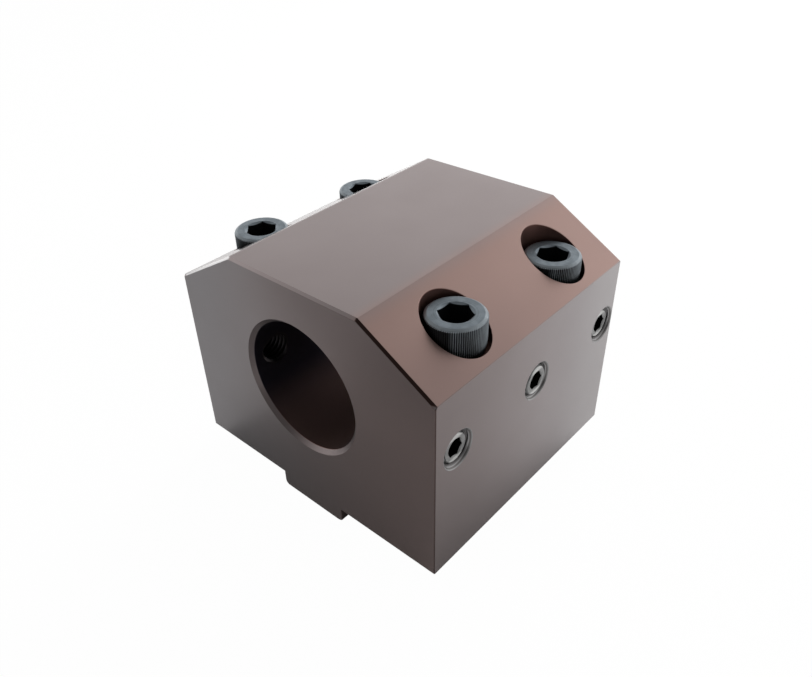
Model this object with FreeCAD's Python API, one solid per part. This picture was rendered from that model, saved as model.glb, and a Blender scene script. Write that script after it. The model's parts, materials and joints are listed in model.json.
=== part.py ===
import FreeCAD, Part
import math
import os

# Axial tool holder block: a bored steel block that bolts to a turret face over a locating tongue.
# X runs across the block, Y back along the tool bore and Z up. The origin is on the underside of the
# tongue, midway across and midway along the block. All lengths are millimetres, all angles degrees.

# Block
BLOCK_WIDTH = 95.0
BLOCK_LENGTH = 85.0
BASE_TO_TOP = 72.5
BASE_TO_SHOULDER = 58.5
TOP_WIDTH = 47.5
END_BEVEL = 0.7
SIDE_BEVEL = 0.3

# Tongue under the base
TONGUE_WIDTH = 25.0
TONGUE_HEIGHT = 5.2
TONGUE_ROUNDING = 1.5

# Tool bore, right through from front to back
BORE_DIAMETER = 40.0
BASE_TO_BORE = 39.5
BORE_BEVEL = 1.25

# Cap screws that bolt the block down, two pairs across the block
SIDE_TO_BOLTS = 11.5
FRONT_TO_BOLTS = 22.0
REAR_TO_BOLTS = 19.0
SCREW_DIAMETER = 10.0
SCREW_LENGTH = 60.0
SCREW_POINT_BEVEL = 1.2
HEAD_DIAMETER = 16.0
HEAD_HEIGHT = 10.0
HEAD_TOP_DIAMETER = 14.0
HEAD_TOP_BEVEL = 0.9
HEAD_SOCKET = 8.0
HEAD_SOCKET_DEPTH = 6.0
KNURL_TEETH = 60
KNURL_DEPTH = 0.25

# Counterbored holes: the front pair of heads seats higher than the rear pair
BASE_TO_FRONT_SEAT = 58.3
BASE_TO_REAR_SEAT = 55.3
HEAD_CLEARANCE = 1.0
SHANK_CLEARANCE = 0.5

# Set screws that clamp the tool, in three tapped holes through each side wall
FRONT_TO_SET_SCREWS = 9.0
REAR_TO_SET_SCREWS = 6.0
SET_SCREW_DIAMETER = 10.0
SET_SCREW_LENGTH = 20.0
SET_SCREW_SOCKET = 5.0
SET_SCREW_SOCKET_DEPTH = 6.0
SET_SCREW_FACE_BEVEL = 0.75
SET_SCREW_POINT_BEVEL = 1.5
THREAD_CLEARANCE = 0.05
TAPPED_MOUTH_BEVEL = 0.8

# How far each set screw lies below its side face, from front to rear
SET_SCREW_RECESS = {"front": 0.9, "middle": 0.3, "rear": 0.9}

# How far each socket is turned, as the screws were left
CAP_SCREW_TURN = {"front_right": 27.0, "rear_right": 51.0, "front_left": 15.0, "rear_left": 47.0}
SET_SCREW_TURN = {"front": 20.0, "middle": 28.0, "rear": 33.0}

# A cutter runs this far past the face it opens
OVERRUN = 2.0

# Two places closer than this are the same place
NEAR = 1e-4

UP = FreeCAD.Vector(0, 0, 1)

# Levels and positions that follow from the sizes above
front = -BLOCK_LENGTH / 2
rear = BLOCK_LENGTH / 2
base = TONGUE_HEIGHT
top = base + BASE_TO_TOP
bore_level = base + BASE_TO_BORE
bolt_reach = BLOCK_WIDTH / 2 - SIDE_TO_BOLTS
seat_level = {"front": base + BASE_TO_FRONT_SEAT, "rear": base + BASE_TO_REAR_SEAT}
bolt_row = {"front": front + FRONT_TO_BOLTS, "rear": rear - REAR_TO_BOLTS}
first_set_screw = front + FRONT_TO_SET_SCREWS
last_set_screw = rear - REAR_TO_SET_SCREWS
set_screw_row = {
    "front": first_set_screw,
    "middle": (first_set_screw + last_set_screw) / 2,
    "rear": last_set_screw,
}
sides = {"right": 1, "left": -1}


def upright_face(points):
    """A flat face in the XZ plane from (x, z) points in order."""
    corners = [FreeCAD.Vector(x, 0, z) for x, z in points]
    return Part.Face(Part.makePolygon(corners + corners[:1]))


def turned(points):
    """A turned solid about Z from an outline of (radius, height) points."""
    return upright_face(points).revolve(FreeCAD.Vector(0, 0, 0), UP, 360)


def placed(shape, position, direction=UP, turn=0.0):
    """A copy of a shape made about Z, turned about Z, with its Z laid along a direction."""
    lay = FreeCAD.Rotation(UP, direction)
    spin = FreeCAD.Rotation(UP, turn)
    moved = shape.copy()
    moved.Placement = FreeCAD.Placement(position, lay.multiply(spin))
    return moved


def end_edges(shape):
    """The edges around the front and rear faces of the block."""
    found = []
    for edge in shape.Edges:
        box = edge.BoundBox
        if box.YLength < NEAR and abs(abs(box.YMin) - BLOCK_LENGTH / 2) < NEAR:
            found.append(edge)
    return found


def long_edges(shape, inner, lowest):
    """The edges that run from front to back, further out than inner and no lower than lowest."""
    found = []
    for edge in shape.Edges:
        box = edge.BoundBox
        is_long = box.YLength > BLOCK_LENGTH / 2
        if is_long and abs(box.Center.x) > inner + NEAR and box.Center.z > lowest - NEAR:
            found.append(edge)
    return found


def foot_edges(shape):
    """The two long edges under the tongue."""
    lowest = [edge for edge in shape.Edges if edge.BoundBox.ZMax < NEAR]
    return [edge for edge in lowest if edge.BoundBox.YLength > BLOCK_LENGTH / 2]


def blank():
    """The block before its holes: a shouldered prism on its tongue, with every outer edge broken."""
    half = BLOCK_WIDTH / 2
    right = [
        (TONGUE_WIDTH / 2, 0),
        (TONGUE_WIDTH / 2, base),
        (half, base),
        (half, base + BASE_TO_SHOULDER),
        (TOP_WIDTH / 2, top),
    ]
    left = [(-x, z) for x, z in reversed(right)]
    prism = upright_face(right + left).extrude(FreeCAD.Vector(0, BLOCK_LENGTH, 0))
    prism.translate(FreeCAD.Vector(0, front, 0))
    prism = prism.makeChamfer(END_BEVEL, end_edges(prism))
    prism = prism.makeChamfer(SIDE_BEVEL, long_edges(prism, TONGUE_WIDTH / 2, base))
    return prism.makeFillet(TONGUE_ROUNDING, foot_edges(prism))


def bore_cutter():
    """The tool bore with a bevel at each mouth, pointing back from the front face."""
    radius = BORE_DIAMETER / 2
    far = BLOCK_LENGTH + OVERRUN
    flare = radius + BORE_BEVEL + OVERRUN
    outline = [(0, -OVERRUN), (flare, -OVERRUN), (radius, BORE_BEVEL)]
    outline += [(radius, BLOCK_LENGTH - BORE_BEVEL), (flare, far), (0, far)]
    return placed(turned(outline), FreeCAD.Vector(0, front, bore_level), FreeCAD.Vector(0, 1, 0))


def bolt_hole_cutter(x, row):
    """A clearance hole up from the base with a flat-bottomed counterbore for the head."""
    hole = SCREW_DIAMETER / 2 + SHANK_CLEARANCE
    counterbore = HEAD_DIAMETER / 2 + HEAD_CLEARANCE
    above = top + OVERRUN
    outline = [(0, base - OVERRUN), (hole, base - OVERRUN), (hole, seat_level[row])]
    outline += [(counterbore, seat_level[row]), (counterbore, above), (0, above)]
    return placed(turned(outline), FreeCAD.Vector(x, bolt_row[row], 0))


def tapped_hole_cutter(side, row):
    """A tapped hole from the side face to the bore, at the thread's outside diameter."""
    radius = SET_SCREW_DIAMETER / 2
    flare = radius + TAPPED_MOUTH_BEVEL + OVERRUN
    depth = BLOCK_WIDTH / 2
    outline = [(0, -OVERRUN), (flare, -OVERRUN), (radius, TAPPED_MOUTH_BEVEL)]
    outline += [(radius, depth), (0, depth)]
    mouth = FreeCAD.Vector(side * BLOCK_WIDTH / 2, set_screw_row[row], bore_level)
    return placed(turned(outline), mouth, FreeCAD.Vector(-side, 0, 0))


def block():
    """The finished block: tongue, shoulders, bore, four bolt holes and six tapped holes."""
    body = blank().cut(bore_cutter())
    for side in sides.values():
        for row in bolt_row:
            body = body.cut(bolt_hole_cutter(side * bolt_reach, row))
        for row in set_screw_row:
            body = body.cut(tapped_hole_cutter(side, row))
    return body


def socket_cutter(across_flats, depth):
    """A hexagon socket down from Z = 0, with one corner on X."""
    corner = across_flats / 2 / math.cos(math.radians(30))
    ring = []
    for step in range(6):
        angle = math.radians(60 * step)
        ring.append(FreeCAD.Vector(corner * math.cos(angle), corner * math.sin(angle), -depth))
    return Part.Face(Part.makePolygon(ring + ring[:1])).extrude(FreeCAD.Vector(0, 0, depth + OVERRUN))


def knurled_band():
    """The fluted band round the head, from its seat to its bevel, with one sharp crest for each tooth."""
    ring = []
    for step in range(2 * KNURL_TEETH):
        radius = HEAD_DIAMETER / 2 - KNURL_DEPTH * (step % 2)
        angle = math.pi * step / KNURL_TEETH
        ring.append(FreeCAD.Vector(radius * math.cos(angle), radius * math.sin(angle), 0))
    height = HEAD_HEIGHT - HEAD_TOP_BEVEL
    return Part.Face(Part.makePolygon(ring + ring[:1])).extrude(FreeCAD.Vector(0, 0, height))


def cap_screw():
    """A socket head cap screw about Z, its head standing on Z = 0 and its shank hanging below."""
    shank = SCREW_DIAMETER / 2
    crown = HEAD_TOP_DIAMETER / 2
    shoulder = HEAD_DIAMETER / 2 - 2 * KNURL_DEPTH
    outline = [(0, -SCREW_LENGTH), (shank - SCREW_POINT_BEVEL, -SCREW_LENGTH)]
    outline += [(shank, SCREW_POINT_BEVEL - SCREW_LENGTH), (shank, HEAD_HEIGHT - HEAD_TOP_BEVEL)]
    outline += [(shoulder, HEAD_HEIGHT - HEAD_TOP_BEVEL), (crown, HEAD_HEIGHT), (0, HEAD_HEIGHT)]
    socket = placed(socket_cutter(HEAD_SOCKET, HEAD_SOCKET_DEPTH), FreeCAD.Vector(0, 0, HEAD_HEIGHT))
    return knurled_band().fuse(turned(outline)).cut(socket)


def set_screw():
    """A flat point set screw about Z, its socket face at Z = 0 and its point below."""
    radius = SET_SCREW_DIAMETER / 2 - THREAD_CLEARANCE
    outline = [(0, -SET_SCREW_LENGTH), (radius - SET_SCREW_POINT_BEVEL, -SET_SCREW_LENGTH)]
    outline += [(radius, SET_SCREW_POINT_BEVEL - SET_SCREW_LENGTH), (radius, -SET_SCREW_FACE_BEVEL)]
    outline += [(radius - SET_SCREW_FACE_BEVEL, 0), (0, 0)]
    return turned(outline).cut(socket_cutter(SET_SCREW_SOCKET, SET_SCREW_SOCKET_DEPTH))


def write(name, shape):
    """Writes one piece as its own file, named after the piece."""
    shape.exportStep("parts/" + name + ".step")
    print(name, round(shape.Volume), "mm3,", len(shape.Faces), "faces")


os.makedirs("parts", exist_ok=True)
write("block", block())

screw = cap_screw()
for row in bolt_row:
    for side_name, side in sides.items():
        seat = FreeCAD.Vector(side * bolt_reach, bolt_row[row], seat_level[row])
        turn = CAP_SCREW_TURN[row + "_" + side_name]
        write("cap_screw_" + row + "_" + side_name, placed(screw, seat, turn=turn))

screw = set_screw()
for side_name, side in sides.items():
    for row in set_screw_row:
        depth = BLOCK_WIDTH / 2 - SET_SCREW_RECESS[row]
        face = FreeCAD.Vector(side * depth, set_screw_row[row], bore_level)
        out = FreeCAD.Vector(side, 0, 0)
        write("set_screw_" + side_name + "_" + row, placed(screw, face, out, SET_SCREW_TURN[row]))
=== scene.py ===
# %% [markdown]
# This script dresses an axial tool holder block: a bored steel block with a tongue underneath, four
# socket head cap screws that bolt it down and six set screws that clamp the tool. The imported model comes
# first and stays the frame for everything: each new piece takes its size and place from it, in metres.

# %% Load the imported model
import json
import math

import bmesh
import bpy
import numpy as np
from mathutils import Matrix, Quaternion, Vector


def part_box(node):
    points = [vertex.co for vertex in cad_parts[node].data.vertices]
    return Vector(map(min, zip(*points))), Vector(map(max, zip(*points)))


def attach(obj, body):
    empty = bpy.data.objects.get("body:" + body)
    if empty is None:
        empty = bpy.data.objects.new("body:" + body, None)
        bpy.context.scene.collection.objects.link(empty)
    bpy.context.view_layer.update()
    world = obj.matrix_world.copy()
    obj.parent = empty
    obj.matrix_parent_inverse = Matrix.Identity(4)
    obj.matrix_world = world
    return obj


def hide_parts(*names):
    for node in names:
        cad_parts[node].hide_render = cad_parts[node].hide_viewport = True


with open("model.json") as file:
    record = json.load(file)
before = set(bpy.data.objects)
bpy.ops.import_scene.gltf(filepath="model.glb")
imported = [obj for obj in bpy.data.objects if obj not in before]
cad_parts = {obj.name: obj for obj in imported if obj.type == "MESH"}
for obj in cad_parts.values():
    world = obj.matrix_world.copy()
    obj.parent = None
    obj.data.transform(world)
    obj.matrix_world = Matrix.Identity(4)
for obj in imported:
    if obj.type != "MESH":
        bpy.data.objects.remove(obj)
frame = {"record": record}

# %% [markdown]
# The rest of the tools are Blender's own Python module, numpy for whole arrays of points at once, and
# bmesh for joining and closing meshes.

MM = 0.001
TURN = 2 * math.pi
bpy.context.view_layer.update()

# %% [markdown]
# The camera stands where the photographer's did, in front of the block, to its right and above. A corner
# of the block that the picture shows gives two equations, and ten corners together fix the place, the
# direction, the small roll and the lens. The shift sets the block a little to the left, as in the
# picture.

# %% The camera
CAMERA_PLACE = Vector((0.12812, -0.14453, 0.17502))
CAMERA_AIM = Vector((-0.5740, 0.5765, -0.5815))
CAMERA_ROLL = math.radians(-3.309)
camera_data = bpy.data.cameras.new("camera")
camera_data.sensor_width = 36.0
camera_data.lens = 33.674
camera_data.shift_x = 0.0499
camera_data.shift_y = 0.0063
camera_data.clip_start = 10 * MM
camera = bpy.data.objects.new("camera", camera_data)
camera.location = CAMERA_PLACE
camera.rotation_mode = "QUATERNION"
camera.rotation_quaternion = CAMERA_AIM.to_track_quat("-Z", "Y") @ Quaternion((0, 0, 1), CAMERA_ROLL)
bpy.context.scene.collection.objects.link(camera)
bpy.context.scene.camera = camera
bpy.context.scene.view_settings.view_transform = "Standard"
print("camera at", [round(value, 4) for value in CAMERA_PLACE], "m")

# %% [markdown]
# Shader maths is easier to read as arithmetic than as a web of nodes. A `Shade` is one socket, and
# adding, multiplying or comparing it puts the Math node in for us. A `Finish` is a node tree with a
# single method that adds any other node, so each finish below is a few lines of plain expressions.


# %% Shader expressions
class Shade:
    """One output socket of a node tree, with arithmetic that adds Math nodes."""

    def __init__(self, finish, socket):
        self.finish = finish
        self.socket = socket

    def math(self, operation, first, second=0.0):
        return self.finish.node("Math", {0: first, 1: second}, operation=operation)

    def __add__(self, other):
        return self.math("ADD", self, other)

    def __radd__(self, other):
        return self.math("ADD", other, self)

    def __sub__(self, other):
        return self.math("SUBTRACT", self, other)

    def __rsub__(self, other):
        return self.math("SUBTRACT", other, self)

    def __mul__(self, other):
        return self.math("MULTIPLY", self, other)

    def __rmul__(self, other):
        return self.math("MULTIPLY", other, self)

    def __neg__(self):
        return self.math("MULTIPLY", self, -1.0)

    def __abs__(self):
        return self.math("ABSOLUTE", self)

    def least(self, other):
        return self.math("MINIMUM", self, other)

    def most(self, other):
        return self.math("MAXIMUM", self, other)


class Finish:
    """A node tree that is built by expressions."""

    def __init__(self, tree):
        tree.nodes.clear()
        self.tree = tree

    def node(self, kind, inputs, output=0, **settings):
        """Adds a node. Settings come first, then each input socket gets a value or a link."""
        made = self.tree.nodes.new("ShaderNode" + kind)
        for name, value in settings.items():
            setattr(made, name, value)
        for name, value in inputs.items():
            if isinstance(value, Shade):
                self.tree.links.new(value.socket, made.inputs[name])
            else:
                made.inputs[name].default_value = value
        return Shade(self, made.outputs[output])

    def place(self):
        """The three object coordinates of the surface, in metres."""
        where = self.node("TexCoord", {}, "Object")
        return [self.node("SeparateXYZ", {0: where}, axis) for axis in range(3)]

    def distance(self, first, second):
        """The hypotenuse over two distances at right angles."""
        return self.node("Math", {0: first * first + second * second}, operation="SQRT")

    def rise(self, value, low, high):
        """0 below low, 1 above high and a smooth step between."""
        return self.node("MapRange", {0: value, 1: low, 2: high}, interpolation_type="SMOOTHSTEP")

    def blend(self, amount, first, second):
        """A mix of two colours."""
        return self.node("Mix", {0: amount, 6: first, 7: second}, 2, data_type="RGBA")

    def noise(self, size, detail=2.0):
        """Cloudy noise from 0 to 1 with patches of about this size in metres."""
        where = self.node("TexCoord", {}, "Object")
        return self.node("TexNoise", {"Vector": where, "Scale": 1 / size, "Detail": detail})

    def rings(self, distance, width):
        """Noise from 0 to 1 that only depends on a distance, so it draws rings of about this width."""
        along = {"W": distance, "Scale": 1 / width, "Detail": 1.0}
        return self.node("TexNoise", along, noise_dimensions="1D")

    def end(self, shader, kind="OutputMaterial"):
        self.tree.links.new(shader.socket, self.tree.nodes.new("ShaderNode" + kind).inputs["Surface"])


def new_finish(name):
    """A material and its empty node tree."""
    material = bpy.data.materials.new(name)
    material.use_nodes = True
    return material, Finish(material.node_tree)


def grey(value):
    return (value, value, value, 1.0)


# %% [markdown]
# Metal shows what stands round it, so the room matters more than the lamps. The photographer's room was
# bright low down behind the block and to its left, dimmer overhead and to the right, and dark on the
# camera's side: the block's top grows lighter to the rear, its front is dark, and the bevel along its top
# front edge is light while the bevel down the slope is dark. The world does that by direction, helped by
# painted shade and painted highlights in the block's coat. The camera itself sees plain white, and glossy
# rays see part of that white, so the metal shows the background too.

# %% The room
ROOM_WHITE_IN_METAL = 0.05
LOW_LIGHT = 1.42
CEILING_LIGHT = 0.32
CAMERA_SIDE_LIGHT = 0.12
RIGHT_SIDE_LOSS = 0.55
OVERHEAD_BAND, OVERHEAD_LEAN = (0.36, 0.86), 0.2
REARWARD_BAND, REARWARD_LEAN = (-0.80, -0.05), 0.5
RIGHTWARD_BAND = (0.30, 0.90)
world = bpy.data.worlds.new("studio")
bpy.context.scene.world = world
world.use_nodes = True
room = Finish(world.node_tree)
direction = room.node("TexCoord", {}, "Generated")
to_right, to_rear, upward = [room.node("SeparateXYZ", {0: direction}, axis) for axis in range(3)]
overhead = room.rise(upward - OVERHEAD_LEAN * to_right, *OVERHEAD_BAND)
rearward = room.rise(to_rear - REARWARD_LEAN * to_right, *REARWARD_BAND)
rightward = room.rise(to_right, *RIGHTWARD_BAND)
level = LOW_LIGHT + (CEILING_LIGHT - LOW_LIGHT) * overhead
level = level * (CAMERA_SIDE_LIGHT + (1 - CAMERA_SIDE_LIGHT) * rearward) * (1 - RIGHT_SIDE_LOSS * rightward)
is_seen = room.node("LightPath", {}, "Is Camera Ray") + room.node("LightPath", {}, "Is Transmission Ray")
in_metal = room.node("LightPath", {}, "Is Glossy Ray") * ROOM_WHITE_IN_METAL
studio_light = room.node("Background", {"Color": grey(1.0), "Strength": level})
white = room.node("Background", {"Color": grey(1.0), "Strength": 1.0})
room.end(room.node("MixShader", {0: is_seen + in_metal, 1: studio_light, 2: white}), "OutputWorld")
print("room light: low", LOW_LIGHT, "overhead", CEILING_LIGHT)

# %% [markdown]
# The floor is white paper. It is mostly white by its own colour for the camera, so that the background
# stays clean, and the rest of it is lit, so that the block's soft shadow is still there. One soft lamp
# low at the rear left lights the floor there and leaves the floor by the front right corner in shade,
# which darkens the front face to the right and the right face to the front; painted shade in the
# block's coat darkens them further.

# %% The floor and the lamp
FLOOR_SIZE = 6.0
FLOOR_DROP = 0.02 * MM
FLOOR_WHITE_SEEN = 0.985
FLOOR_WHITE_IN_METAL = 0.04
PAPER_GREY = 0.92
LAMP_PLACE = Vector((-0.10, 0.70, 0.38))
floor_finish, paper = new_finish("floor_paper")
seen = paper.node("LightPath", {}, "Is Camera Ray") + paper.node("LightPath", {}, "Is Transmission Ray")
seen = seen * FLOOR_WHITE_SEEN + paper.node("LightPath", {}, "Is Glossy Ray") * FLOOR_WHITE_IN_METAL
lit = paper.node("BsdfDiffuse", {"Color": grey(PAPER_GREY)})
glow = paper.node("Emission", {"Color": grey(1.0), "Strength": 1.0})
paper.end(paper.node("MixShader", {0: seen, 1: lit, 2: glow}))
reach = FLOOR_SIZE / 2
floor_mesh = bpy.data.meshes.new("floor")
floor_corners = [(-reach, -reach), (reach, -reach), (reach, reach), (-reach, reach)]
floor_mesh.from_pydata([(x, y, -FLOOR_DROP) for x, y in floor_corners], [], [(0, 1, 2, 3)])
floor_mesh.materials.append(floor_finish)
floor = bpy.data.objects.new("floor", floor_mesh)
bpy.context.scene.collection.objects.link(floor)

lamp_data = bpy.data.lights.new("rear_lamp", "AREA")
lamp_data.shape = "SQUARE"
lamp_data.size = 0.35
lamp_data.energy = 7.0
lamp = bpy.data.objects.new("rear_lamp", lamp_data)
lamp.location = LAMP_PLACE
lamp.rotation_mode = "QUATERNION"
lamp.rotation_quaternion = (-LAMP_PLACE).to_track_quat("-Z", "Y")
lamp.visible_camera = False
lamp.visible_glossy = False
bpy.context.scene.collection.objects.link(lamp)
print("floor", FLOOR_SIZE, "m wide, lamp", lamp_data.energy, "W")

# %% [markdown]
# Every piece here is a closed surface on grids of points. A grid has rows and columns, and its last
# column joins its first. On a screw thread the rows climb as they go round, so the last column joins the
# first one a whole pitch further up: that is the `shift`. Rings that end a grid are closed with one flat
# face, and where a fine ring meets a coarse one a bridge of small flat faces joins them.


# %% Closed meshes from grids
def ring_faces(first, rows, columns, shift):
    """Four-sided faces between neighbouring rows and columns. The step from the last column back to the
    first one also climbs by shift rows."""
    row, column = np.meshgrid(np.arange(rows - 1), np.arange(columns), indexing="ij")
    after = (column + 1) % columns
    climb = np.where(after == 0, shift, 0)
    near = row * columns + column
    far = (row + climb) * columns + after
    corners = np.stack([near, far, far + columns, near + columns], axis=-1)
    return (first + corners[row + climb + 1 < rows]).tolist()


def closed_mesh(name, grids, caps, bridge=None):
    """Joins grids of points, given with their shifts, into one closed mesh. Each cap closes the ring
    (grid, row). The bridge joins a fine ring to a coarse ring with a whole fraction of its columns."""
    points, faces, rings = [], [], []
    count = 0
    for grid, shift in grids:
        rows, columns = grid.shape[:2]
        faces += ring_faces(count, rows, columns, shift)
        rings.append(count + np.arange(rows * columns).reshape(rows, columns))
        points.append(grid.reshape(-1, 3))
        count += rows * columns
    faces += [rings[grid][row].tolist() for grid, row in caps]
    if bridge:
        fine, coarse = [rings[grid][row] for grid, row in bridge]
        step = len(fine) // len(coarse)
        for place in range(len(coarse)):
            arc = np.take(fine, np.arange(place * step, (place + 1) * step + 1), mode="wrap")
            faces.append([*arc.tolist(), int(coarse[(place + 1) % len(coarse)]), int(coarse[place])])
    mesh = bpy.data.meshes.new(name)
    mesh.from_pydata(np.concatenate(points).tolist(), [], faces)
    return tidy(mesh)


# %% [markdown]
# Every new mesh is then put in order. Doubled points are merged, faces are turned outwards, and an edge
# stays crisp where its two faces meet at more than the sharp angle. Open edges are counted too, because
# the holes can only be cut with closed meshes.

# %% Put a mesh in order
MERGE_DISTANCE = 0.0001 * MM
SHARP_ANGLE = math.radians(22)


def tidy(mesh, sharp_angle=SHARP_ANGLE):
    """Merges doubled points, turns every face outwards and keeps edges over the sharp angle crisp."""
    made = bmesh.new()
    made.from_mesh(mesh)
    bmesh.ops.remove_doubles(made, verts=made.verts, dist=MERGE_DISTANCE)
    bmesh.ops.recalc_face_normals(made, faces=made.faces)
    mesh["open_edges"] = sum(not edge.is_manifold for edge in made.edges)
    made.to_mesh(mesh)
    made.free()
    mesh.shade_smooth()
    mesh.set_sharp_from_angle(angle=sharp_angle)
    return mesh


# %% [markdown]
# Nearly every surface of this object goes round an axis: the bore, the holes, the heads and the threads.
# So one function turns radius, angle and height into points, for whole arrays at once, about any axis.


# %% Points about an axis
def about(axes, radius, angle, height):
    """Points at a radius, an angle and a height about an axis: the origin, plus radius times (cosine of
    the angle along the first axis and sine along the second), plus height along the third."""
    origin, first, second, along = axes
    radius, angle, height = np.broadcast_arrays(radius, angle, height)
    out = np.cos(angle)[..., None] * first + np.sin(angle)[..., None] * second
    return origin + radius[..., None] * out + height[..., None] * along


def turned_grid(axes, outline, columns):
    """A turned surface: each (radius, height) point of the outline carried round the axis."""
    radius, height = np.array(outline).T[:, :, None]
    return about(axes, radius, np.linspace(0, TURN, columns, endpoint=False), height)


def new_object(name, mesh):
    """An object at the origin with a mesh, linked to the scene."""
    made = bpy.data.objects.new(name, mesh)
    bpy.context.scene.collection.objects.link(made)
    return made


# %% [markdown]
# The block starts as a bar: its outline carried along Y. The outline comes from five corners and its
# mirror image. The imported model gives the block's width, length and height, its base face and its bore,
# and only the corners between them are new.

# %% The block's corners
ACROSS = np.array((1.0, 0.0, 0.0))
BACK = np.array((0.0, 1.0, 0.0))
UP = np.array((0.0, 0.0, 1.0))
half_width, half_length, top_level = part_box("block")[1]
mounts = {mount["name"]: mount for mount in frame["record"]["mounts"]}
base_level = mounts["base_face"]["pos_m"][2]
bore_radius = mounts["tool_bore"]["dims"]["r_mm"] * MM
bore_level = mounts["tool_bore"]["pos_m"][2]
TOP_HALF_WIDTH = half_width / 2
SHOULDER_DROP = 14.0 * MM
TONGUE_HALF_WIDTH = 12.5 * MM
TONGUE_ROUNDING = 1.5 * MM
ROUNDING_POINTS = 9
SIDE_BREAK = 0.06 * MM
THIN_BEVEL = 0.25 * MM
END_BEVEL = 0.7 * MM
shoulder_level = top_level - SHOULDER_DROP
right_corners = [
    (TONGUE_HALF_WIDTH, 0.0),
    (TONGUE_HALF_WIDTH, base_level),
    (half_width, base_level),
    (half_width, shoulder_level),
    (TOP_HALF_WIDTH, top_level),
]
outline_corners = np.array(right_corners + [(-x, z) for x, z in reversed(right_corners)])
right_kinds = ["round", "inner", "break", "break", "break"]
corner_kinds = right_kinds + right_kinds[::-1]
ahead = np.roll(outline_corners, -1, axis=0) - outline_corners
ahead /= np.linalg.norm(ahead, axis=1, keepdims=True)
behind = np.roll(ahead, 1, axis=0)
normal_ahead = np.stack([-ahead[:, 1], ahead[:, 0]], axis=1)
normal_behind = np.roll(normal_ahead, 1, axis=0)
print("block outline has", len(outline_corners), "corners")

# %% [markdown]
# On the real block every edge is broken. The upper edges of the front face have a wider bevel and all the
# others a thin one, so the sections near the two ends are drawn inwards, each edge by its own distance.
# When an edge moves, its corners move too, and a small pair of equations gives every corner's new place.


# %% The block's outline, drawn inwards
def corner_moves(insets):
    """How far each corner moves when each edge is drawn inwards by its inset: the move whose product with
    either edge's inward normal is that edge's inset."""
    normals = np.stack([normal_behind, normal_ahead], axis=1)
    pairs = np.stack([np.roll(insets, 1), insets], axis=1)
    return np.linalg.solve(normals, pairs[..., None])[..., 0]


def block_outline(insets):
    """The (x, z) outline with its edges drawn inwards. A broken corner becomes two points and a round one
    becomes an arc about the point that lies one rounding from both of its edges."""
    corners = outline_corners + corner_moves(insets)
    centres = corners + corner_moves(np.full(len(corners), TONGUE_ROUNDING))
    swing = np.linspace(0, TURN / 4, ROUNDING_POINTS)[:, None]
    points = []
    for place, kind in enumerate(corner_kinds):
        corner = corners[place]
        if kind == "break":
            points += [corner - SIDE_BREAK * behind[place], corner + SIDE_BREAK * ahead[place]]
        elif kind == "round":
            inward = normal_behind[place] * np.cos(swing) + normal_ahead[place] * np.sin(swing)
            points += list(centres[place] - TONGUE_ROUNDING * inward)
        else:
            points.append(corner)
    return np.array(points)


# %% The bar
BOTH_ENDS = [(0, 0), (0, -1)]
edge_feet = np.minimum(outline_corners[:, 1], np.roll(outline_corners[:, 1], -1))
front_bevels = np.where(edge_feet > shoulder_level - SIDE_BREAK, END_BEVEL, THIN_BEVEL)
rear_bevels = np.full(len(outline_corners), THIN_BEVEL)
sections = []
for end, bevels, depths in (
    (-1, front_bevels, (0.0, THIN_BEVEL, END_BEVEL)),
    (1, rear_bevels, (THIN_BEVEL, 0.0)),
):
    for depth in depths:
        x, z = block_outline(np.maximum(bevels - depth, 0.0)).T[:, :, None]
        sections.append(x * ACROSS + end * (half_length - depth) * BACK + z * UP)
block_grid = np.array(sections)
block = new_object("block_visual", closed_mesh("block_visual", [(block_grid, 0)], BOTH_ENDS))
print("block sections have", block_grid.shape[1], "points; open edges", block.data["open_edges"])

# %% [markdown]
# A metric thread is a ridge with 60 degree flanks that climbs one pitch in one turn. One function gives
# its radius at any angle and height, and serves the set screws, the cap screws and, as a cutter, the
# tapped holes. The ridge of a set screw and the groove of its hole are measured from the same side face,
# so they mesh, and they mesh again wherever the screw has moved by whole turns.

# %% Screw threads
PITCH = 1.5 * MM
CREST_FLAT = PITCH / 8
FLANK = math.tan(math.radians(30))
ROWS_PER_PITCH = 7
SPARE_TURNS = 2


def thread_radius(angle, height, crest, root, crest_flat):
    """The radius falls from the crest by (the distance from the ridge's middle, less half its flat, over
    tan 30 degrees), and stops at the root."""
    phase = np.mod(height - PITCH * angle / TURN + PITCH / 2, PITCH) - PITCH / 2
    return np.clip(crest - (np.abs(phase) - crest_flat / 2) / FLANK, root, crest)


def thread_rows(low, high, start, columns, crest, root, crest_flat):
    """Angles and heights of a grid whose rows climb with the thread, at both edges of the crest, halfway
    down each flank, at each foot and midway between. The spare turns let every column climb from below
    low to above high, and heights stop there."""
    edge = crest_flat / 2
    foot = edge + (crest - root) * FLANK
    middle = (edge + foot) / 2
    phases = np.array([-edge, edge, middle, foot, PITCH / 2, PITCH - foot, PITCH - middle])
    turns = np.arange(math.floor(low / PITCH) - SPARE_TURNS, math.ceil(high / PITCH) + SPARE_TURNS)
    rows = (turns[:, None] * PITCH + phases).ravel()
    angle = start + np.linspace(0, TURN, columns, endpoint=False)
    row, angle = np.meshgrid(rows, angle, indexing="ij")
    return angle, np.clip(row + PITCH * angle / TURN, low, high)


# %% [markdown]
# The holes follow the screws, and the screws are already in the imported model. The box of a cap screw gives
# its axis and the level of its seat. The box of a set screw gives its axis and how deep its face lies.

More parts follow.
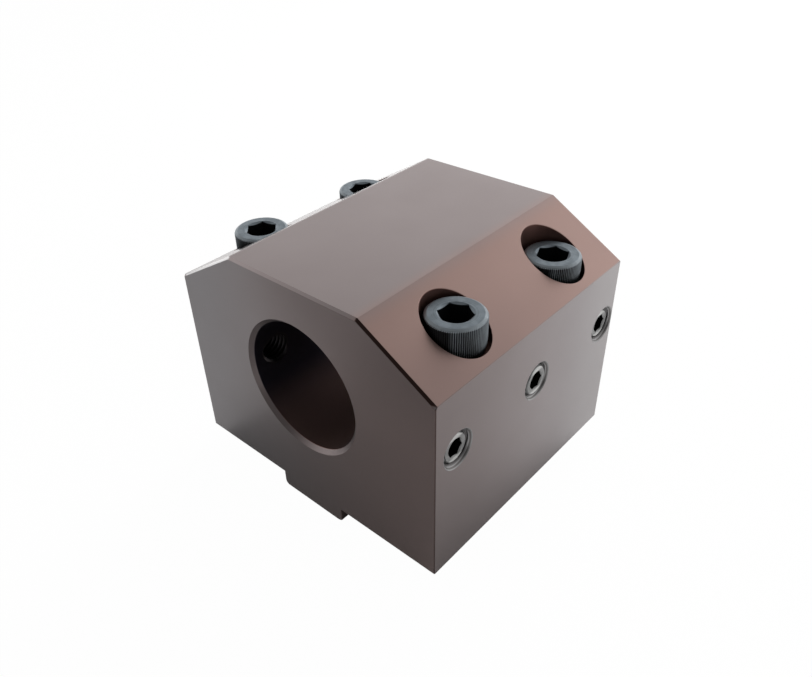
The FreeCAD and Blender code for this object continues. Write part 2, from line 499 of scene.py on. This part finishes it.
# %% Where the screws are
SIDES = {"right": 1, "left": -1}
BOLT_ROWS = ("front", "rear")
CLAMP_ROWS = ("front", "middle", "rear")
HEAD_HEIGHT = 10.0 * MM
seats = {}
for row in BOLT_ROWS:
    for side in SIDES:
        low, high = [np.array(corner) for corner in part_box(f"cap_screw_{row}_{side}")]
        seats[row, side] = np.array(((low[0] + high[0]) / 2, (low[1] + high[1]) / 2, high[2] - HEAD_HEIGHT))
mouths, recesses = {}, {}
for side, sign in SIDES.items():
    for row in CLAMP_ROWS:
        low, high = [np.array(corner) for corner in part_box(f"set_screw_{side}_{row}")]
        mouth = np.array((sign * half_width, (low[1] + high[1]) / 2, bore_level))
        mouths[side, row] = (mouth, -sign * UP, BACK, sign * ACROSS)
        recesses[side, row] = half_width - max(abs(low[0]), abs(high[0]))
print("seats at z", sorted({round(float(seat[2] / MM), 2) for seat in seats.values()}), "mm")
print("set screw recesses", sorted({round(float(depth / MM), 2) for depth in recesses.values()}), "mm")

# %% [markdown]
# The holes are cut with solid cutters, as a machinist would. Each cutter is turned about the hole's axis
# and runs out past the block, so that no two faces lie in one plane. The first is the bore's, with a bevel
# at each mouth.

# %% Cutter for the bore
OVERRUN = 2.0 * MM
BORE_BEVEL = 1.25 * MM
BORE_COLUMNS = 192
bore_reach = half_length + OVERRUN
bore_flare = bore_radius + BORE_BEVEL + OVERRUN
bore_outline = [
    (bore_flare, -bore_reach),
    (bore_radius, BORE_BEVEL - half_length),
    (bore_radius, half_length - BORE_BEVEL),
    (bore_flare, bore_reach),
]
bore_grid = turned_grid((bore_level * UP, UP, ACROSS, BACK), bore_outline, BORE_COLUMNS)
cutters = [closed_mesh("bore_cutter", [(bore_grid, 0)], BOTH_ENDS)]
print("bore cutter has", bore_grid.shape[1], "columns")

# %% [markdown]
# The bolts go down through the slopes, so each counterbore opens in a slanting oval. A second cutter, a
# thin cone that follows the slope, breaks that sharp rim.

# %% Cutters for the bolt holes
COUNTERBORE_RADIUS = 9.0 * MM
BOLT_HOLE_RADIUS = 5.5 * MM
BASE_MOUTH = 0.5 * MM
RIM_BREAK = 0.15 * MM
HOLE_COLUMNS = 96
slope_fall = SHOULDER_DROP / (half_width - TOP_HALF_WIDTH)


def rim_cutter(seat):
    """A plug whose side is a cone that breaks the rim. Its rings follow the slope: the height of each
    point is the slope's height there, lowered by the break at the wall and by nothing one break outside."""
    side = np.sign(seat[0])
    angle = np.linspace(0, TURN, HOLE_COLUMNS, endpoint=False)
    radius = np.array([COUNTERBORE_RADIUS + grow for grow in (-OVERRUN, 0, RIM_BREAK, OVERRUN)])[:, None]
    lift = np.array([-RIM_BREAK, -RIM_BREAK, 0, OVERRUN])[:, None]
    x = seat[0] + radius * np.cos(angle)
    slope = top_level - slope_fall * (side * x - TOP_HALF_WIDTH)
    return about((seat * (1, 1, 0), ACROSS, BACK, UP), radius, angle, slope + lift)


for seat in seats.values():
    hole_outline = [
        (BOLT_HOLE_RADIUS + BASE_MOUTH + OVERRUN, base_level - OVERRUN),
        (BOLT_HOLE_RADIUS, base_level + BASE_MOUTH),
        (BOLT_HOLE_RADIUS, seat[2]),
        (COUNTERBORE_RADIUS, seat[2]),
        (COUNTERBORE_RADIUS, top_level + OVERRUN),
    ]
    hole = turned_grid((seat * (1, 1, 0), ACROSS, BACK, UP), hole_outline, HOLE_COLUMNS)
    for name, grid in (("bolt_hole_cutter", hole), ("rim_cutter", rim_cutter(seat))):
        cutters.append(closed_mesh(name, [(grid, 0)], BOTH_ENDS))
print(len(cutters), "cutters so far")

# %% [markdown]
# The tapped holes run from the side faces into the bore. A tap is a set screw's own thread made a little
# larger, with a cone at the side face that opens the mouth.

# %% Taps for the set screws
TAP_CREST = 5.0 * MM
TAP_ROOT = 4.188 * MM
TAP_OVERRUN = 4.0 * MM
TAP_MOUTH = 0.8 * MM
TAP_COLUMNS = 60
tap_end = -(half_width - bore_radius + TAP_OVERRUN)
for axes in mouths.values():
    angle, height = thread_rows(tap_end, OVERRUN, 0.0, TAP_COLUMNS, TAP_CREST, TAP_ROOT, CREST_FLAT)
    groove = thread_radius(angle, height, TAP_CREST, TAP_ROOT, CREST_FLAT)
    radius = np.maximum(groove, TAP_CREST + TAP_MOUTH + height)
    tap = [(about(axes, radius, angle, height), ROWS_PER_PITCH)]
    cutters.append(closed_mesh("tap", tap, BOTH_ENDS))
print("open edges of all cutters", sum(cutter["open_edges"] for cutter in cutters))

# %% [markdown]
# Each cutter is taken away with a Boolean modifier. The manifold solver is quick and exact on closed
# meshes, and the result becomes the block's own mesh, so the cutters can go. The block's edges stay crisp
# from a smaller angle than the screws' do, because its narrow bevels meet wide flats at only 15 degrees.


# %% Cut the block
BLOCK_SHARP_ANGLE = math.radians(12)


def cut_away(target, meshes):
    """Subtracts closed meshes from an object and gives it the result."""
    tools = [new_object("cutter", mesh) for mesh in meshes]
    for tool in tools:
        modifier = target.modifiers.new("cut", "BOOLEAN")
        modifier.operation = "DIFFERENCE"
        modifier.solver = "MANIFOLD"
        modifier.object = tool
    result = target.evaluated_get(bpy.context.evaluated_depsgraph_get())
    cut = bpy.data.meshes.new_from_object(result)
    target.modifiers.clear()
    target.data = cut
    for tool in tools:
        bpy.data.objects.remove(tool)


cut_away(block, cutters)
tidy(block.data, BLOCK_SHARP_ANGLE)
print("block:", len(block.data.polygons), "faces, open edges", block.data["open_edges"])

# %% [markdown]
# Both kinds of screw are turned with a key, so both have a hexagon socket with a drill point at its bottom
# and a shallow cone at its mouth.

# %% Hexagon sockets
MOUTH_SLOPE = 1.5


def hexagon(angle, half_flats):
    """The radius of a hexagon with a corner at angle 0: half its flats over the cosine of the angle from
    the middle of the nearest flat."""
    return half_flats / np.cos(np.mod(angle, TURN / 6) - TURN / 12)


def socket_rows(angle, half_flats, mouth, depth, drill):
    """Radius and height rows of a hexagon socket below height 0, from its drill point to its mouth. The
    mouth is a cone, so its lower edge dips at each flat."""
    flats = hexagon(angle, half_flats)
    still = np.ones_like(angle)
    radius = [0 * still, drill * still, flats, flats, mouth * still]
    dip = (flats - mouth) / MOUTH_SLOPE
    height = [-(depth + drill / 2) * still, -depth * still, -depth * still, dip, 0 * still]
    return np.array(radius), np.array(height)


# %% [markdown]
# A cap screw is one closed surface too. Its head is a fine grid that starts at the drill point in the
# socket, climbs the six flats, crosses the flat top, takes the rim in four steps and comes down the knurl
# to a plain foot. Its shank is a coarser grid with the thread, and a bridge under the head joins the two.

# %% Cap screw shape
HEAD_RADIUS = 8.0 * MM
HEAD_RIM = MM * np.array([(7.1, 0.0), (7.7, -0.27), (7.845, -0.41), (7.93, -0.59), (8.0, -0.8)])
CAP_SOCKET_HALF_FLATS = 4.12 * MM
CAP_SOCKET_MOUTH = 4.82 * MM
CAP_SOCKET_DEPTH = 6.0 * MM
CAP_SOCKET_DRILL = 3.3 * MM
KNURL_TEETH = 90
KNURL_DEPTH = 0.25 * MM
KNURL_FOOT = 1.5 * MM
FOOT_RADIUS = 7.7 * MM
FOOT_BEVEL = 0.4 * MM
HEAD_COLUMNS = 4 * KNURL_TEETH
SHANK_COLUMNS = HEAD_COLUMNS // 6
SHANK_LENGTH = 60.0 * MM
THREAD_LENGTH = 32.0 * MM
SHANK_RADIUS = 5.0 * MM
SHANK_ROOT = 4.13 * MM
SHANK_POINT = 1.2 * MM
RUN_OUT = 2.0 * MM


def cap_screw_mesh(name, seat, turn):
    """A socket head cap screw on its seat, turned about its own axis."""
    first = np.array((math.cos(turn), math.sin(turn), 0.0))
    axes = (seat, first, np.cross(UP, first), UP)
    angle = np.linspace(0, TURN, HEAD_COLUMNS, endpoint=False)
    knurl = HEAD_RADIUS - KNURL_DEPTH * (0.5 - 0.5 * np.cos(KNURL_TEETH * angle))
    socket, depth = socket_rows(
        angle, CAP_SOCKET_HALF_FLATS, CAP_SOCKET_MOUTH, CAP_SOCKET_DEPTH, CAP_SOCKET_DRILL
    )
    rim = np.minimum(HEAD_RIM[:, :1], knurl)
    rim_height = HEAD_HEIGHT + HEAD_RIM[:, 1:] + 0 * angle
    side = [
        (knurl, KNURL_FOOT + KNURL_DEPTH),
        (FOOT_RADIUS, KNURL_FOOT),
        (FOOT_RADIUS, FOOT_BEVEL),
        (FOOT_RADIUS - FOOT_BEVEL, 0.0),
    ]
    foot = np.array([radius + 0 * angle for radius, height in side])
    foot_height = np.array([height + 0 * angle for radius, height in side])
    radius = np.concatenate([socket, rim, foot])
    height = np.concatenate([depth + HEAD_HEIGHT, rim_height, foot_height])
    head = about(axes, radius, angle, height)
    angle, height = thread_rows(
        -SHANK_LENGTH, 0.0, 0.0, SHANK_COLUMNS, SHANK_RADIUS, SHANK_ROOT, CREST_FLAT
    )
    plain = np.clip((height + SHANK_LENGTH - THREAD_LENGTH) / RUN_OUT, 0, 1)
    root = SHANK_ROOT + (SHANK_RADIUS - SHANK_ROOT) * plain
    radius = thread_radius(angle, height, SHANK_RADIUS, root, CREST_FLAT)
    radius = np.minimum(radius, SHANK_RADIUS - SHANK_POINT + height + SHANK_LENGTH)
    shank = about(axes, radius, angle, height)
    return closed_mesh(name, [(head, 0), (shank, ROWS_PER_PITCH)], [(1, 0)], ((0, -1), (1, -1)))


# %% Cap screws
CAP_SCREW_TURN = {
    ("front", "right"): math.radians(27),
    ("rear", "right"): math.radians(51),
    ("front", "left"): math.radians(15),
    ("rear", "left"): math.radians(47),
}
cap_screws = {}
for (row, side), seat in seats.items():
    name = f"cap_screw_{row}_{side}_visual"
    mesh = cap_screw_mesh(name, seat, CAP_SCREW_TURN[row, side])
    cap_screws[row, side] = new_object(name, mesh)
    print(name, len(mesh.polygons), "faces, open edges", mesh["open_edges"])

# %% [markdown]
# A set screw has no head: a threaded rod with a flat point, a bevelled socket face and a small hexagon
# socket. Its grid starts at the corner of its own hexagon, because a corner has to fall on a column to
# stay sharp.

# %% Set screws
SET_CREST = 4.95 * MM
SET_ROOT = 4.08 * MM
SET_FLAT = 0.185 * MM
SET_LENGTH = 20.0 * MM
SET_POINT = 1.5 * MM
SET_FACE_BEVEL = 0.95 * MM
SET_SOCKET_HALF_FLATS = 2.5 * MM
SET_SOCKET_MOUTH = 2.95 * MM
SET_SOCKET_DEPTH = 6.0 * MM
SET_SOCKET_DRILL = 2.0 * MM
SET_COLUMNS = 60
SET_SCREW_TURN = {"front": math.radians(20), "middle": math.radians(28), "rear": math.radians(33)}


def set_screw_mesh(name, axes, recess, turn):
    """A set screw whose face lies below the side face by its recess. The thread is cut back by a cone at
    the face and by a longer one at the point."""
    face, point = -recess, -recess - SET_LENGTH
    angle, height = thread_rows(point, face, turn, SET_COLUMNS, SET_CREST, SET_ROOT, SET_FLAT)
    radius = thread_radius(angle, height, SET_CREST, SET_ROOT, SET_FLAT)
    radius = np.minimum(radius, SET_CREST - SET_FACE_BEVEL + face - height)
    radius = np.minimum(radius, SET_CREST - SET_POINT + height - point)
    rod = about(axes, radius, angle, height)
    angle = np.linspace(0, TURN, SET_COLUMNS, endpoint=False)
    socket, depth = socket_rows(
        angle, SET_SOCKET_HALF_FLATS, SET_SOCKET_MOUTH, SET_SOCKET_DEPTH, SET_SOCKET_DRILL
    )
    rim = np.full((1, SET_COLUMNS), SET_CREST - SET_FACE_BEVEL)
    radius, height = np.concatenate([socket, rim]), np.concatenate([depth, 0 * rim])
    key_side = about(axes, radius, turn + angle, face + height)
    return closed_mesh(name, [(rod, ROWS_PER_PITCH), (key_side, 0)], [(0, 0)])


set_screws = {}
for (side, row), axes in mouths.items():
    name = f"set_screw_{side}_{row}_visual"
    mesh = set_screw_mesh(name, axes, recesses[side, row], SET_SCREW_TURN[row])
    set_screws[side, row] = new_object(name, mesh)
    print(name, len(mesh.polygons), "faces, open edges", mesh["open_edges"])

# %% [markdown]
# The block is ground steel under a thin brown oxide that isn't even: it is redder on one slope and greyer
# on the side faces. Painted shade darkens it towards the front and in the holes, and painted highlights
# lighten it where it reflects the bright room. One material covers all of it, so the object coordinates
# first have to tell which surface a point is on. Each mask is 1 on its surface and 0 elsewhere, and the
# ramps run from 0 to 1 across, along and up the block.

# %% Where a point of the block is
FACE_DEPTH = 0.25 * MM
SKIN = (0.02 * MM, 0.06 * MM)
WALL_STEP = (0.02 * MM, 0.12 * MM)
CORNER_MARGIN = 0.2 * MM
SLOPE_TOP_BAND = 3 * MM
MOUTH_REACH = 2.0 * MM
block_finish, coat = new_finish("brown_oxide_steel")
x, y, z = coat.place()
from_middle, front_depth = abs(x), y + half_length
slope_level = top_level - slope_fall * (from_middle - TOP_HALF_WIDTH)
on_slope = 1 - coat.rise(abs(z - slope_level), FACE_DEPTH, 2 * FACE_DEPTH)
on_front = 1 - coat.rise(front_depth, *SKIN)
on_rear = 1 - coat.rise(half_length - y, *SKIN)
on_side = coat.rise(from_middle - half_width, -FACE_DEPTH, -FACE_DEPTH / 2)
to_right = coat.rise(x, -half_width, half_width)
to_rear = coat.rise(y, -half_length, half_length)
up_front = coat.rise(z, bore_level, top_level)
up_slope = coat.rise(z, shoulder_level, top_level - SLOPE_TOP_BAND)
above_side = coat.rise(z - shoulder_level, -FACE_DEPTH, FACE_DEPTH)
on_right, on_left = [
    coat.rise(outward, TOP_HALF_WIDTH - END_BEVEL, TOP_HALF_WIDTH - CORNER_MARGIN) for outward in (x, -x)
]
on_bevel = above_side * (1 - on_front) * (1 - coat.rise(front_depth, 0.9 * END_BEVEL, END_BEVEL))
edge_reach = (half_width - x).most(front_depth)
on_upright_bevel = 1 - coat.rise(edge_reach, 0.85 * THIN_BEVEL, 1.1 * THIN_BEVEL)
on_tongue_side = coat.rise(from_middle - TONGUE_HALF_WIDTH, -0.3 * MM, -0.1 * MM)
on_tongue_side = on_tongue_side * (1 - on_front) * coat.rise(base_level - z, *WALL_STEP)
print("masks by surface:", len(coat.tree.nodes), "nodes")

# %% [markdown]
# Round places are told by their distance from an axis. The cap screws stand at the corners of a rectangle
# and the set screws in three rows, both the same on either side, so absolute values fold all of them onto
# one.

# %% How far a point is from each axis
bolt_x, front_y = seats["front", "right"][:2]
rear_y = seats["rear", "right"][1]
bolts_middle, bolts_reach = (front_y + rear_y) / 2, (rear_y - front_y) / 2
middle_y, rear_clamp_y = mouths["right", "middle"][0][1], mouths["right", "rear"][0][1]


def from_bolt_axis(finish, x, y):
    """The distance from the axis of the nearest cap screw."""
    return finish.distance(abs(x) - bolt_x, abs(y - bolts_middle) - bolts_reach)


def from_clamp_axis(finish, y, z):
    """The distance from the axis of the nearest set screw."""
    along = abs(y - middle_y)
    along = along.least(abs(along - (rear_clamp_y - middle_y)))
    return finish.distance(along, z - bore_level)


def within(distance, radius):
    """1 inside a round wall and 0 past it, with a step that starts just outside the wall."""
    low, high = WALL_STEP
    return 1 - coat.rise(distance, radius + low, radius + high)


in_well = within(from_bolt_axis(coat, x, y), COUNTERBORE_RADIUS) * coat.rise(z - base_level, *SKIN)
bore_distance = coat.distance(x, z - bore_level)
in_bore = within(bore_distance, bore_radius)
in_bore_mouth = within(bore_distance, bore_radius + BORE_BEVEL)
tap_distance = from_clamp_axis(coat, y, z)
in_tapped = within(tap_distance, TAP_CREST)
near_side = coat.rise(from_middle - half_width, -MOUTH_REACH, -0.9 * MOUTH_REACH)
in_mouth = within(tap_distance, TAP_CREST + TAP_MOUTH) * near_side
print("cap screws stand", round(float(bolt_x / MM), 2), "mm to each side of the middle")

# %% [markdown]
# The coat comes first. One value, `warm`, runs from 0 for the grey at the front's left side to 1 for the
# red on the slope over the right-hand bolts, with faint clouds and grain over it.

# %% The brown coat
COOL_COAT = (0.292, 0.297, 0.312, 1.0)
RED_COAT = (0.430, 0.285, 0.250, 1.0)
CLOUDY_COAT = (0.200, 0.150, 0.140, 1.0)
CLOUD_SIZE = 18 * MM
GRAIN_SIZE = 0.5 * MM
WARM_EDGE = 4 * MM
spread = coat.rise(x, TOP_HALF_WIDTH - WARM_EDGE, TOP_HALF_WIDTH + WARM_EDGE)
warm = 0.36 + on_side * (0.02 - 0.20 * to_rear) + above_side * spread * (1 - on_rear) * 0.58
warm = warm * (1 - on_front) + on_front * (0.04 + 0.62 * to_right)
clouds = coat.noise(CLOUD_SIZE)
grain = coat.noise(GRAIN_SIZE)
colour = coat.blend(warm, COOL_COAT, RED_COAT)
colour = coat.blend(0.16 * clouds + 0.05 * grain, colour, CLOUDY_COAT)
print("coat:", len(coat.tree.nodes), "nodes")

# %% [markdown]
# Painted shade darkens the coat towards the front of the block, and painted highlights, standing for
# reflections of the bright room, lighten the rear of the side faces and the left slope. The broken edges
# stand out by painted light: a painted highlight on the front bevel over the left slope, and painted shade,
# nearly black, on the front bevel over the right slope, down the front right edge and on the tongue's sides.

# %% Painted shade and painted highlights
SHADED_COAT = (0.125, 0.102, 0.100, 1.0)
HIGHLIGHT_COAT = (0.500, 0.480, 0.475, 1.0)
BEVEL_HIGHLIGHT_COAT = (0.720, 0.710, 0.710, 1.0)
EDGE_SHADE_COAT = (0.050, 0.028, 0.024, 1.0)
FRONT_SHADE_SPAN = (-25 * MM, 10 * MM)
SIDE_SHADE_END = 24 * MM
SIDE_HIGHLIGHT_START = 12 * MM
# Painted shade: the front darker to the right and near its top, the side faces and lower slopes darker
# towards the front, and the bore's bevel darker.
front_shade = 0.34 + 0.10 * (1 - up_front) * (1 - to_right) + 0.17 * to_right
front_shade = front_shade + 0.35 * up_front * coat.rise(x, *FRONT_SHADE_SPAN)
side_shade = on_side * (1 - coat.rise(y, -half_length, SIDE_SHADE_END)) * 0.56
slope_shade = on_slope * (1 - to_rear) * (0.38 - 0.34 * up_slope)
shaded = (on_front * front_shade).most(side_shade).most(slope_shade).most(in_bore_mouth * 0.60)
colour = coat.blend(shaded, colour, SHADED_COAT)
# Painted highlights, standing for reflections of the bright room: the rear of the side faces and the left
# slope.
side_highlight = on_side * coat.rise(y, SIDE_HIGHLIGHT_START, half_length) * 0.28
colour = coat.blend(side_highlight.most(on_slope * on_left * 0.3), colour, HIGHLIGHT_COAT)
# A painted highlight on the front bevel over the left slope, where it would reflect the bright room.
colour = coat.blend(on_bevel * on_left * 0.9, colour, BEVEL_HIGHLIGHT_COAT)
# Painted shade, nearly black: the front bevel over the right slope, the front right upright edge and the
# tongue's sides.
edge_shade = (on_bevel * on_right).most(on_upright_bevel * 0.8).most(on_tongue_side * 0.8)
colour = coat.blend(edge_shade, colour, EDGE_SHADE_COAT)
print("with shade and wear:", len(coat.tree.nodes), "nodes")

# %% [markdown]
# Inside the holes the steel sees little light, so their colours are painted shade. The bore is painted
# nearly black, lighter and brown towards its floor, the counterbores red-brown, partly the oxide's own
# colour and partly painted shade, and the tapped holes dark behind a pale mouth with turned rings.

# %% The holes' colours, and the block's finish
BORE_SHADE = (0.044, 0.038, 0.052, 1.0)
BORE_FLOOR_COAT = (0.260, 0.165, 0.147, 1.0)
MOUTH_COAT = (0.300, 0.295, 0.295, 1.0)
MOUTH_RING_COAT = (0.140, 0.132, 0.130, 1.0)
TAPPED_SHADE = (0.050, 0.045, 0.048, 1.0)
WELL_COAT_AND_SHADE = (0.170, 0.090, 0.075, 1.0)
RING_WIDTH = 0.35 * MM
# Painted shade in the bore: nearly black, lighter and brown towards its floor.
low_in_bore = 1 - coat.rise(z - bore_level, -bore_radius, -0.4 * bore_radius)
colour = coat.blend(in_bore, colour, coat.blend(low_in_bore, BORE_SHADE, BORE_FLOOR_COAT))
rings = coat.rise(coat.rings(tap_distance, RING_WIDTH), 0.45, 0.60)
colour = coat.blend(in_mouth, colour, coat.blend(rings, MOUTH_COAT, MOUTH_RING_COAT))
# Painted shade darkens the tapped holes, and the counterbores' red-brown oxide is partly painted shade.
colour = coat.blend(in_tapped * (1 - 0.5 * near_side), colour, TAPPED_SHADE)
colour = coat.blend(in_well, colour, WELL_COAT_AND_SHADE)
roughness = 0.34 + 0.05 * clouds + 0.10 * in_well.most(in_bore) - 0.14 * on_slope * on_left
metal = coat.node("BsdfPrincipled", {"Base Color": colour, "Roughness": roughness, "Metallic": 0.92})
coat.end(metal)
block.data.materials.clear()
block.data.materials.append(block_finish)
print("block finish has", len(coat.tree.nodes), "nodes")

# %% [markdown]
# The screws are black oxide: blue-grey on the cap screws, greyer on the set screws. Turning has left fine
# rings about each axis, and light wear mottles the faces. A painted highlight lightens the cap screws' rims
# and the set screws' faces above and below the socket. Painted shade darkens each socket, where light
# hardly reaches, the knurl and the threads between their ridges, and the knurl of each right-hand head
# towards the bore, deep in its counterbore. Each screw's own distances from its axis and below its face
# place these.


# %% The screws' finishes
# Near black for painted shade in sockets, knurls and threads.
PAINTED_SHADE_BLACK = (0.012, 0.012, 0.013, 1.0)
PATCH_SIZE = 2.2 * MM
SPECK_SIZE = 0.35 * MM
MIDDLE_STEP = 1 * MM
TOP_EDGE = (6.5 * MM, 7.0 * MM)
COUNTERBORE_SHADE_EDGE = (-5.4 * MM, -3.0 * MM)
CAP_SOCKET_SHADE = (0.42 * MM, 0.56 * MM)
SET_SOCKET_SHADE = (0.26 * MM, 0.36 * MM)
SET_FACE_SKIN = (0.1 * MM, 0.3 * MM)
SET_HIGHLIGHT_EDGE = (2.6 * MM, 3.3 * MM)


def oxide(name, bright, worn, highlight_grey, roughness, describe):
    """Black oxide: mottled, ringed greys, then a painted highlight and painted shade where described."""
    material, finish = new_finish(name)
    axis_distance, painted_highlight, dark = describe(finish, *finish.place())
    patches = finish.rise(finish.noise(PATCH_SIZE, 3.0), 0.35, 0.65)
    specks = finish.noise(SPECK_SIZE)
    rings = finish.rise(finish.rings(axis_distance, RING_WIDTH), 0.40, 0.60)
    colour = finish.blend(0.35 * patches + 0.25 * specks + 0.30 * rings, bright, worn)
    colour = finish.blend(painted_highlight, colour, highlight_grey)
    colour = finish.blend(dark, colour, PAINTED_SHADE_BLACK)
    shell = {"Base Color": colour, "Roughness": roughness + 0.08 * patches, "Metallic": 0.85}
    finish.end(finish.node("BsdfPrincipled", shell))
    return material


def cap_screw_parts(finish, x, y, z):
    """A cap screw has painted shade in its socket and over its knurl, most between its teeth, and on the
    right-hand ones also on the side towards the bore, deep in the counterbore. The rim has a painted
    highlight. The rear heads sit lower, so their depth counts from further down."""
    axis_distance = from_bolt_axis(finish, x, y)
    rear_drop = seats["front", "right"][2] - seats["rear", "right"][2]
    depth = seats["front", "right"][2] + HEAD_HEIGHT - rear_drop * finish.rise(y, 0.0, MIDDLE_STEP) - z
    rim_radius, rim_drop = HEAD_RIM[0, 0], -HEAD_RIM[-1, 1]
    on_knurl = finish.rise(axis_distance, *TOP_EDGE)
    on_knurl = on_knurl * finish.rise(depth, rim_drop - 0.10 * MM, rim_drop + 0.05 * MM)
    between_teeth = 1 - finish.rise(axis_distance, HEAD_RADIUS - 0.20 * MM, HEAD_RADIUS - 0.05 * MM)
    # Painted shade over the knurl, most between its teeth, and on the right-hand heads towards the bore,
    # deep in the counterbore.
    counterbore_shade = finish.rise(x, 0.0, MIDDLE_STEP) * finish.rise(bolt_x - x, *COUNTERBORE_SHADE_EDGE)
    knurl_shade = on_knurl * (0.30 + 0.62 * between_teeth).most(counterbore_shade)
    # Painted shade in the socket, where light hardly reaches.
    in_socket = 1 - finish.rise(axis_distance, CAP_SOCKET_MOUTH + 0.03 * MM, CAP_SOCKET_MOUTH + 0.13 * MM)
    in_socket = in_socket * finish.rise(depth, *CAP_SOCKET_SHADE)
    # A painted highlight over the rim and down the side.
    painted_highlight = finish.rise(axis_distance, rim_radius - 0.05 * MM, rim_radius + 0.10 * MM) * 0.45
    return axis_distance, painted_highlight, (in_socket * 0.94).most(knurl_shade)


def set_screw_parts(finish, x, y, z):
    """A set screw has painted shade in its socket and between its threads, and a painted highlight on its
    face above and below the socket. The middle row has a recess of its own, so depth counts from each
    screw's own face."""
    axis_distance = from_clamp_axis(finish, y, z)
    middle_recess, rear_recess = recesses["right", "middle"], recesses["right", "rear"]
    off_middle = finish.rise(abs(y - middle_y), 5 * MM, 6 * MM)
    depth = half_width - middle_recess - (rear_recess - middle_recess) * off_middle - abs(x)
    # Painted shade in the socket and between the threads.
    in_socket = 1 - finish.rise(axis_distance, SET_SOCKET_MOUTH + 0.05 * MM, SET_SOCKET_MOUTH + 0.15 * MM)
    in_socket = in_socket * finish.rise(depth, *SET_SOCKET_SHADE)
    between_threads = finish.rise(axis_distance, SET_ROOT + 0.02 * MM, SET_ROOT + 0.27 * MM) * 0.6
    on_face = 1 - finish.rise(depth, *SET_FACE_SKIN)
    # A painted highlight on the face above and below the socket.
    painted_highlight = finish.rise(abs(z - bore_level), *SET_HIGHLIGHT_EDGE) * on_face
    return axis_distance, painted_highlight, in_socket.most(between_threads)


cap_greys = (0.250, 0.290, 0.322, 1.0), (0.155, 0.183, 0.206, 1.0), (0.405, 0.440, 0.462, 1.0)
set_greys = (0.300, 0.300, 0.298, 1.0), (0.190, 0.190, 0.188, 1.0), (0.560, 0.560, 0.550, 1.0)
cap_finish = oxide("cap_screw_oxide", *cap_greys, 0.40, cap_screw_parts)
set_finish = oxide("set_screw_oxide", *set_greys, 0.36, set_screw_parts)
for screws, material in ((cap_screws, cap_finish), (set_screws, set_finish)):
    for screw in screws.values():
        screw.data.materials.append(material)
print("finishes:", [material.name for material in (block_finish, cap_finish, set_finish)])

# %% [markdown]
# Each new piece stands for its CAD node and rides the same body: the cap screws stay with the block, and
# every set screw travels on its own.

# %% Ride the bodies and hide the CAD nodes
pieces = [(block, "block", "holder", "block_steel")]
for (row, side), screw in cap_screws.items():
    pieces.append((screw, f"cap_screw_{row}_{side}", "holder", "cap_screw_steel"))
for (side, row), screw in set_screws.items():
    pieces.append((screw, f"set_screw_{side}_{row}", f"clamp_{side}_{row}", "set_screw_steel"))
for piece, node, body, slot in pieces:
    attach(piece, body)
    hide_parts(node)
